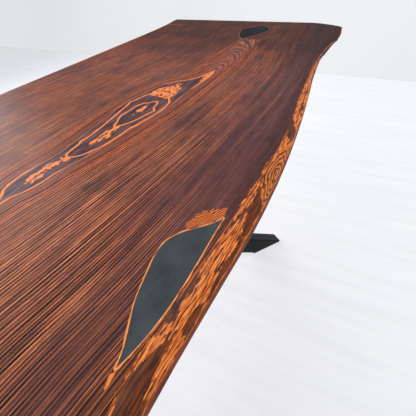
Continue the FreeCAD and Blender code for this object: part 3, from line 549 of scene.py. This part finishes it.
    # the stain is uneven at every size, with finer lines within the rings towards the far end
    shade = math("ADD", ramp(streaks, 0.3, 0.7, 0.75, 1.1), scaled(specks, 0.3, -0.1))
    shade = product(shade, ramp(noise((30, 60, 60), 4.0, 0.65), 0.3, 0.7, 0.86, 1.14))
    finer_lines = ramp(noise_by_ring(product(rings, 0.9), 1.0), 0.36, 0.64, -1.0, 1.0)
    shade = product(shade, math("ADD", product(finer_lines, along_slab(0.15, 0.6, 0.0, 0.42)), 1.0))
    # it is heavier along the front and most of all beside the front arris; the wood is a little darker
    # towards the near end, and much darker towards the far end, which is painted shade for the light that
    # falls off there
    shade = product(shade, along_slab(0.45, 1.1, 1.0, 0.44), along_slab(-0.45, -0.15, 0.92, 1.0))
    shade = product(shade, scaled(at_front, along_slab(-0.3, -0.05, -0.36, -0.15), 1.0))
    shade = product(shade, ramp(product(past, at_front), -0.045, -0.012, 1.0, 0.75))
    top = mix(along_slab(0.4, 0.9), shaded(top, shade), (1.0, 0.86, 0.8, 1), "MULTIPLY")

    # the flames: narrow orange lines and ragged patches on dark spring wood; the outer line fades where it
    # runs beside the middle one
    wobble = scaled(noise((38, 70, 70), 3.0, 0.6), 0.006, -0.003)
    flame_width = scaled(noise((22, 40, 40)), 0.0034, 0.0006)
    strong_outer = math("MAXIMUM", along_slab(-0.12, -0.06, 1.0, 0.3), along_slab(0.37, 0.41, 0.0, 1.0))
    flames = 0.0
    for from_flame, strong in ((from_outer_flame, strong_outer), (attribute("flame_middle"), 1.0),
                               (attribute("flame_inner"), 1.0)):
        from_line = math("ABSOLUTE", math("ADD", from_flame, wobble))
        flame = ramp(math("SUBTRACT", from_line, flame_width), -0.0004, 0.0008, 1.0, 0.0)
        flames = math("MAXIMUM", flames, product(flame, strong))
    torn = scaled(noise((75, 130, 130), 4.0, 0.6), 0.028, -0.013)
    torn = product(ramp(math("ADD", attribute("ragged_patch"), torn), 0.0012, 0.0002),
                   ramp(noise((65, 120, 120)), 0.54, 0.57, 1.0, 0.0))
    orange = mix(noise((50, 120, 120), 3.0), "#d5682f", "#f09455")
    spring_wood = mix(ramp(noise((14, 110, 110), 4.0, 0.65), 0.36, 0.64), "#33242a", "#6c4a4a")
    figure = shaded(mix(math("MAXIMUM", flames, torn), spring_wood, orange), scaled(specks, 0.3, 0.85))
    top = mix(ramp(from_outer_flame, 0.0035, 0.0055, 1.0, 0.0), top, figure)
    # beyond the tips the rings open wide over the ridge line
    ridge_line = product(ramp(from_ridge, 1.0, 3.5, 0.9, 0.0), ramp(count, -3.5, -1.5),
                         along_slab(0.96, 1.0, 1.0, 0.0), ramp(from_outer_flame, 0.004, 0.012))
    wide = mix(noise((60, 90, 90), 3.0), "#8e4a30", "#cc6c3c")
    top = mix(ridge_line, top, mix(band(share, 0.5, 0.88, 0.05), "#47333a", wide))

    # the bark side: orange with long dashes and dark islands, a red brown foot and a purple shoulder
    def down(along_scale, down_scale, detail=2.0, roughness=0.5):
        return noise((along_scale, down_scale, 9), detail, roughness, down_side)

    fine = down(24, 420)
    feathers = down(55, 620)
    island = scaled(feathers, 0.3, down(17, 66, 3.0, 0.55))
    for middle_x, middle_past, half_length, half_height in BROWN_PATCHES:
        across = scaled(where[0], 1 / half_length, -middle_x / half_length)
        below = scaled(past, 1 / half_height, -middle_past / half_height)
        inside = math("ADD", product(across, across), product(below, below))
        island = math("SUBTRACT", island, ramp(inside, 0.5, 1.3, 0.25, 0.0))
    # few near the arris and most of the side lower down, where a wavy orange line ends them
    limit = scaled(ramp(past, 0.004, 0.024), 0.06, along_slab(0.4, 0.7, 0.565, 0.61))
    islands = ramp(math("SUBTRACT", island, limit), -0.012, 0.012)
    low_line = band(scaled(down(30, 40, 3.0), 0.012, past), 0.0355, 0.0385, 0.0012)
    bark_orange = mix(ramp(fine, 0.3, 0.7), "#bd5a22", "#fb9448")
    bark_orange = mix(ramp(down(38, 600), 0.53, 0.58), bark_orange, "#5d2813")
    bark_brown = mix(ramp(fine, 0.35, 0.65), "#3f2017", "#783c1d")
    bark_wood = mix(math("MAXIMUM", islands, low_line), bark_brown, bark_orange)
    pinched = product(down(17, 75, 4.0, 0.55), 3.2)
    loop_share = math("FRACT", scaled(attribute("side_loops"), 5.6, pinched))
    loops = mix(band(loop_share, 0.3, 0.75, 0.1), "#552a1d", mix(fine, "#c4642b", "#f08c42"))
    bark_wood = mix(product(ramp(attribute("side_loops"), 0.85, 1.0, 1.0, 0.0), 0.85), bark_wood, loops)
    foot = ramp(scaled(down(12, 60), 0.014, past), 0.036, 0.041)
    bark_wood = mix(foot, bark_wood, mix(ramp(fine, 0.35, 0.65), "#4f2115", "#8f4524"))
    # painted shade: the bark side is darker towards the far end, for the light that falls off there
    bark_wood = shaded(bark_wood, along_slab(0.45, 1.15, 1.0, 0.42))
    top = mix(ramp(past, -0.001, 0.0005), top, mix(ramp(fine, 0.35, 0.7), "#3d2526", "#743f28"))
    worn_arris = product(band(past, -0.0008, 0.0012, 0.0003), ramp(down(9, 5), 0.42, 0.55))
    top = mix(worn_arris, top, "#c8652f")
    tongues = scaled(feathers, 0.01, scaled(down(16, 75, 4.0, 0.6), 0.026, -0.018))
    wood = mix(ramp(math("ADD", attribute("past_bark"), tongues), -0.0006, 0.0009), top, bark_wood)

    # pale wood round the rotten pockets: curly beyond the near one's far tip, a tail at its near tip, a rim
    curls = math("FRACT", scaled(gap, 330.0, product(noise((45, 45, 45)), 5.0)))
    curly = mix(band(curls, 0.3, 0.75, 0.1), "#552a1c", mix(noise((60, 60, 60)), "#d86c34", "#ff9650"))
    frayed = scaled(noise((70, 110, 110), 4.0, 0.65), 0.03, -0.0165)
    at_curls = ramp(math("ADD", attribute("curly_grain"), frayed), -0.001, 0.004)
    wood = mix(product(at_curls, 0.9), wood, curly)
    at_tail = ramp(math("ADD", attribute("pale_tail"), product(frayed, 0.12)), 0.0008, -0.0004)
    wood = mix(at_tail, wood, "#e07f40")
    rim_width = scaled(noise((48, 48, 48)), 0.0052, -0.0009)
    rim = product(ramp(math("SUBTRACT", gap, rim_width), -0.0002, 0.0006, 1.0, 0.0),
                  along_slab(1.0, 1.03, 1.0, 0.25))
    wood = mix(rim, wood, mix(noise((90, 90, 90)), "#d06f35", "#f6a25c"))

    tree.links.new(wood, shader.inputs["Base Color"])
    # hard oil: the wood itself stays matt, and a thin film on it takes the light
    shader.inputs["Roughness"].default_value = 0.6
    shader.inputs["Specular IOR Level"].default_value = 0.0
    shader.inputs["Coat Weight"].default_value = 0.19
    shader.inputs["Coat Roughness"].default_value = 0.38
    height = math("SUBTRACT", ridge, groove_with_painted_shade)
    bumps = add_node(tree, "ShaderNodeBump", {"Strength": 0.35, "Distance": 0.0005, "Height": height})
    tree.links.new(bumps.outputs[0], shader.inputs["Normal"])
    return material


slab.data.materials.clear()
slab.data.materials.append(stained_softwood())
take_up(slab)
bpy.ops.object.modifier_apply(modifier=uneven.name)
bpy.ops.object.shade_smooth_by_angle(angle=0.6)
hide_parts("slab_top")
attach(slab, body)

# --- Resin ----------------------------------------------------------------------------------------
# Black epoxy poured into two rotten pockets and sanded flush. The shallow near fill is slate grey and
# satin, partly from the sanding and partly a painted reflection of the pale room; the far one goes through
# the slab and looks deeper.


def mottled(tree, vector, fine, fine_share, cloud_scale, low, high, dark, light):
    """A tint between two close shades: broad clouds, with a share of a finer pattern added to them."""
    clouds = add_node(tree, "ShaderNodeTexNoise", {"Vector": vector, "Scale": cloud_scale, "Detail": 4.0})
    share = add_node(tree, "ShaderNodeMath", {0: fine, 1: fine_share, 2: clouds.outputs[0]},
                     operation="MULTIPLY_ADD").outputs[0]
    share = add_node(tree, "ShaderNodeMapRange", {0: share, 1: low, 2: high}).outputs[0]
    return add_node(tree, "ShaderNodeMix", {0: share, 6: linear(dark), 7: linear(light)},
                    data_type="RGBA").outputs[2]


def sanded_resin(name, dark, light):
    """Resin with sanding scratches along the slab, drawn 1 mm apart so that the coarsest of them show."""
    material, tree, shader = new_material(name)
    place = add_node(tree, "ShaderNodeTexCoord").outputs["Object"]
    scratched = add_node(tree, "ShaderNodeMapping", {"Vector": place, "Scale": (40, 900, 40)}).outputs[0]
    scratches = add_node(tree, "ShaderNodeTexNoise", {"Vector": scratched, "Scale": 1.0, "Detail": 2.0})
    tint = mottled(tree, place, scratches.outputs[0], 0.35, 16.0, 0.5, 0.85, dark, light)
    tree.links.new(tint, shader.inputs["Base Color"])
    shader.inputs["Roughness"].default_value = 0.5
    shader.inputs["Specular IOR Level"].default_value = 0.0
    shader.inputs["Coat Weight"].default_value = 0.12
    shader.inputs["Coat Roughness"].default_value = 0.3
    return material


# the near fill's slate grey is partly a painted reflection of the pale room
for node, finish in (("resin_fill_near", ("black_epoxy_sanded_slate_painted_reflection", "#33373a", "#454a4d")),
                     ("resin_fill_far", ("black_epoxy_sanded_deep", "#070808", "#1c1f20"))):
    nodes[node].data.materials.clear()
    nodes[node].data.materials.append(sanded_resin(*finish))

# --- Base -----------------------------------------------------------------------------------------
# Rectangular steel tube, flat bar and channel, sawn, welded and powder coated matte black: a fine grain
# that takes a soft grey light along the upper faces.


def give_material(material, beginnings):
    """Gives the material to every CAD node whose name starts with one of the beginnings."""
    for name, node in nodes.items():
        if name.startswith(beginnings):
            node.data.materials.clear()
            node.data.materials.append(material)


def fine_grained(name, dark, light, grain, roughness, bump, metallic=0.0, specular=0.5):
    """A painted, moulded or machined surface of two close shades, with grain bumps so many to the metre.
    The grain is drawn two to five times as coarse as the real one, so that it shows."""
    material, tree, shader = new_material(name)
    place = add_node(tree, "ShaderNodeTexCoord").outputs["Object"]
    grit = add_node(tree, "ShaderNodeTexNoise", {"Vector": place, "Scale": grain, "Detail": 2.0}).outputs[0]
    tint = mottled(tree, place, grit, 0.4, 11.0, 0.5, 0.9, dark, light)
    tree.links.new(tint, shader.inputs["Base Color"])
    shader.inputs["Roughness"].default_value = roughness
    shader.inputs["Metallic"].default_value = metallic
    shader.inputs["Specular IOR Level"].default_value = specular
    relief = add_node(tree, "ShaderNodeBump", {"Strength": bump, "Distance": 0.0002, "Height": grit})
    tree.links.new(relief.outputs[0], shader.inputs["Normal"])
    return material


coat = fine_grained("powder_coated_steel_matt_black", "#050506", "#0c0c0d", 900.0, 0.45, 0.3, specular=0.11)
give_material(coat, ("leg_", "arm_", "foot_plate_", "cross_bar_", "stiffener_channel_"))

# --- Weld beads -----------------------------------------------------------------------------------
# Rippled beads where the eight tubes meet at the crossing and where the arms meet the flat bars, under
# the same powder coat. Each bead is a row of overlapping drops of weld metal.

CROSSING_HEIGHT = 0.41
FOOT_TOP = 0.01
FOOT_REACH = 0.629
LEG_AZIMUTH = np.radians(37.4)
TUBE_WIDTH, TUBE_DEPTH = 0.05, 0.08
HALF_TUBE = TUBE_WIDTH / 2
SLOPE = np.arctan((CROSSING_HEIGHT - FOOT_TOP) / FOOT_REACH)
HALF_CUT = TUBE_DEPTH / 2 / np.sin(SLOPE)
ARM_TOP = 0.692
ARM_REACH = (ARM_TOP - CROSSING_HEIGHT) / np.tan(SLOPE)
# radii of the beads at the crossing's upright seams, in its valleys and round the tops of the arms
SEAM_BEAD, VALLEY_BEAD, ARM_BEAD = 0.0034, 0.0036, 0.0024
HALF_ACROSS_TUBE, HALF_ALONG_TUBE = 0.021, 0.07
BEAD_PROUD, SEAM_SHORT = 0.001, 0.003
ARM_BEAD_SUNK = 0.0008
DROP_PITCH = 0.0023
DROP_FLATNESS, DROP_SHIFT = 0.62, 0.06


def weld_bead(start, end, radius):
    """A bead from start to end: one drop, flattened along the bead and repeated."""
    run = Vector(end) - Vector(start)
    bpy.ops.object.select_all(action="DESELECT")
    bpy.ops.mesh.primitive_uv_sphere_add(segments=8, ring_count=5, radius=radius, location=(0, 0, 0))
    bead = bpy.context.object
    bpy.ops.object.mode_set(mode="EDIT")
    bpy.ops.mesh.select_all(action="SELECT")
    bpy.ops.transform.resize(value=(1, 1, DROP_FLATNESS))
    bpy.ops.transform.translate(value=(radius * DROP_SHIFT, 0, 0))
    bpy.ops.object.mode_set(mode="OBJECT")
    row = bead.modifiers.new("row", "ARRAY")
    row.use_relative_offset = False
    row.use_constant_offset = True
    row.constant_offset_displace = (0, 0, DROP_PITCH)
    row.count = int(run.length / DROP_PITCH)
    bpy.ops.object.modifier_apply(modifier=row.name)
    bead.rotation_euler = run.to_track_quat("Z", "Y").to_euler()
    bead.location = start
    bpy.ops.object.transform_apply(location=True, rotation=True, scale=True)
    return bead


beads = []
# upright seams, where two tubes' sides meet on the axes of the table
for axis, across_axis, along_axis in ((0, np.sin(LEG_AZIMUTH), np.cos(LEG_AZIMUTH)),
                                      (1, np.cos(LEG_AZIMUTH), np.sin(LEG_AZIMUTH))):
    reach = HALF_TUBE / across_axis
    half = (reach * along_axis + HALF_CUT) * np.tan(SLOPE) - SEAM_SHORT
    for side in (-1, 1):
        corner = [0, 0, CROSSING_HEIGHT - half]
        corner[axis] = side * (reach + BEAD_PROUD)
        beads.append(weld_bead(corner, (corner[0], corner[1], CROSSING_HEIGHT + half), SEAM_BEAD))
for x_side in (-1, 1):
    for y_side in (-1, 1):
        outwards = Vector((x_side * np.cos(LEG_AZIMUTH), y_side * np.sin(LEG_AZIMUTH), 0))
        across = Vector((-outwards.y, outwards.x, 0))
        valley = outwards * (HALF_CUT + BEAD_PROUD) + Vector((0, 0, CROSSING_HEIGHT))
        half_run = across * HALF_ACROSS_TUBE
        beads.append(weld_bead(valley - half_run, valley + half_run, VALLEY_BEAD))
        arm = outwards * ARM_REACH + Vector((0, 0, ARM_TOP - ARM_BEAD_SUNK))
        for side in (-1, 1):
            for middle, half_run in ((arm + outwards * side * HALF_CUT, across * HALF_ACROSS_TUBE),
                                     (arm + across * side * HALF_TUBE, outwards * HALF_ALONG_TUBE)):
                beads.append(weld_bead(middle - half_run, middle + half_run, ARM_BEAD))
bpy.ops.object.select_all(action="DESELECT")
for bead in beads:
    bead.select_set(True)
bpy.context.view_layer.objects.active = beads[0]
bpy.ops.object.join()
welds = bpy.context.object
welds.name = welds.data.name = "weld_beads"
bpy.ops.object.shade_smooth()
welds.data.materials.append(coat)
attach(welds, body)

# --- Fasteners and glides -------------------------------------------------------------------------
# Button head bolts, screws and washers of steel blackened in an oxide bath, turned brass inserts with a
# bright machined skin, and injection moulded nylon glides with a fine spark eroded grain.

blackened = fine_grained("black_oxide_steel_bolts", "#1b1b1d", "#333337", 1500.0, 0.42, 0.15, specular=0.4)
give_material(blackened, ("bar_bolts", "bar_washers", "channel_bolts", "channel_washers", "glide_screws"))
brass = fine_grained("turned_brass_inserts", "#a8853f", "#cfae62", 1800.0, 0.3, 0.2, metallic=1.0)
give_material(brass, ("bar_inserts", "channel_inserts"))
nylon = fine_grained("moulded_nylon_glides", "#121213", "#1e1e20", 1100.0, 0.6, 0.4, specular=0.3)
give_material(nylon, ("foot_glide_",))

# --- Room -----------------------------------------------------------------------------------------
# White washed floor boards and a white wall beyond the far end, a broad window behind the back left, a
# smaller one over the front and soft light from all round.

WALL_PLACE = 2.95
WALL_HEIGHT, WALL_WIDTH = 5, 16
FLOOR_SIZE = 40
ROOM_FRONT, ROOM_BACK = -2.5, 2.5


def seen_directly(tree, share):
    """The share for what the camera sees, itself or mirrored or through glass, and 0 for other rays."""
    path = add_node(tree, "ShaderNodeLightPath").outputs
    seen = path["Is Camera Ray"]
    for ray in ("Is Glossy Ray", "Is Transmission Ray"):
        seen = add_node(tree, "ShaderNodeMath", {0: seen, 1: path[ray]}, operation="MAXIMUM").outputs[0]
    return add_node(tree, "ShaderNodeMath", {0: seen, 1: share}, operation="MULTIPLY").outputs[0]


def pale_surface(name, hex_colour, grain_scale, glow_share, painted_shade_at_back=1.0):
    """Matt white paint that is seen partly lit by itself, so that it stays pale but keeps the shadows. It
    is clear from behind, and has painted shade: it dims to the share given last towards the back of the
    room."""
    material, tree, shader = new_material(name)
    place = add_node(tree, "ShaderNodeTexCoord").outputs["Object"]
    stretched = add_node(tree, "ShaderNodeMapping", {"Vector": place, "Scale": grain_scale}).outputs[0]
    grain = add_node(tree, "ShaderNodeTexNoise", {"Vector": stretched, "Scale": 1.0, "Detail": 3.0})
    inputs = {0: grain.outputs[0], 1: 0.35, 2: 0.65, 3: 0.955, 4: 1.0}
    grain_and_painted_shade = add_node(tree, "ShaderNodeMapRange", inputs).outputs[0]
    across = add_node(tree, "ShaderNodeSeparateXYZ", {0: place}).outputs[1]
    painted_shade_dim = add_node(tree, "ShaderNodeMapRange", {0: across, 1: ROOM_FRONT, 2: ROOM_BACK, 3: 1.0, 4: painted_shade_at_back})
    grain_and_painted_shade = add_node(tree, "ShaderNodeMath", {0: grain_and_painted_shade, 1: painted_shade_dim.outputs[0]}, operation="MULTIPLY").outputs[0]
    tint = add_node(tree, "ShaderNodeMix", {0: 1.0, 6: linear(hex_colour), 7: grain_and_painted_shade}, data_type="RGBA",
                    blend_type="MULTIPLY").outputs[2]
    tree.links.new(tint, shader.inputs["Base Color"])
    shader.inputs["Roughness"].default_value = 0.8
    shader.inputs["Specular IOR Level"].default_value = 0.1
    glow = add_node(tree, "ShaderNodeEmission", {"Color": tint})
    both = add_node(tree, "ShaderNodeMixShader",
                    {0: seen_directly(tree, glow_share), 1: shader.outputs[0], 2: glow.outputs[0]})
    behind = add_node(tree, "ShaderNodeNewGeometry").outputs["Backfacing"]
    clear = add_node(tree, "ShaderNodeBsdfTransparent")
    one_sided = add_node(tree, "ShaderNodeMixShader", {0: behind, 1: both.outputs[0], 2: clear.outputs[0]})
    tree.links.new(one_sided.outputs[0], tree.nodes["Material Output"].inputs[0])
    return material


bpy.ops.mesh.primitive_plane_add(size=FLOOR_SIZE, location=(0, 0, 0))
floor = bpy.context.object
floor.name = "floor"
floor.data.materials.append(pale_surface("white_washed_boards", "#f6f7fb", (22, 1.6, 1), 0.62))

bpy.ops.mesh.primitive_plane_add(size=1, location=(0, 0, 0))
wall = bpy.context.object
wall.name = "wall"
take_up(wall)
bpy.ops.transform.resize(value=(WALL_HEIGHT, WALL_WIDTH, 1))
bpy.ops.transform.rotate(value=np.pi / 2, orient_axis="Y", center_override=(0, 0, 0))
bpy.ops.transform.translate(value=(WALL_PLACE, 0, WALL_HEIGHT / 2))
bpy.ops.object.transform_apply(location=True, rotation=True, scale=True)
# the wall has painted shade, a little darker towards the back of the room
wall.data.materials.append(pale_surface("white_wall_paint", "#f2f3f6", (0.6, 0.6, 0.6), 0.9, 0.92))

world = bpy.data.worlds.new("soft_daylight")
bpy.context.scene.world = world
world.use_nodes = True
tree = world.node_tree
light_from_all_round = (0.42, 0.43, 0.45, 1)
inputs = {0: seen_directly(tree, 1.0), 6: light_from_all_round, 7: linear("#eceef2")}
tint = add_node(tree, "ShaderNodeMix", inputs, data_type="RGBA")
tree.links.new(tint.outputs[2], tree.nodes["Background"].inputs[0])


def area_light(name, place, aim, size, power):
    bpy.ops.object.light_add(type="AREA", location=place)
    light = bpy.context.object
    light.name = name
    light.data.shape = "RECTANGLE"
    light.data.size, light.data.size_y = size
    light.data.energy = power
    light.rotation_euler = (Vector(aim) - light.location).to_track_quat("-Z", "Y").to_euler()


area_light("window_back_left", (-0.3, 2.5, 1.9), (-0.1, 0.2, 0.75), (3.4, 1.5), 130)
area_light("window_front", (0.6, -2.5, 2.7), (0.2, -0.45, 0.7), (3.0, 1.6), 58)

camera_data = bpy.data.cameras.new("camera")
camera_data.sensor_width = 36
camera_data.lens = 24.03
camera = bpy.data.objects.new("camera", camera_data)
bpy.context.scene.collection.objects.link(camera)
right = Vector((0.43023983, -0.90083037, -0.05829516))
up = Vector((0.63907645, 0.25834356, 0.72445834))
back = Vector((-0.6375539, -0.3489459, 0.68684917))
turned = Matrix((right, up, back)).transposed().to_4x4()
camera.matrix_world = Matrix.Translation((-0.35876, -0.56127, 1.06377)) @ turned
bpy.context.scene.camera = camera
bpy.context.scene.view_settings.view_transform = "Standard"
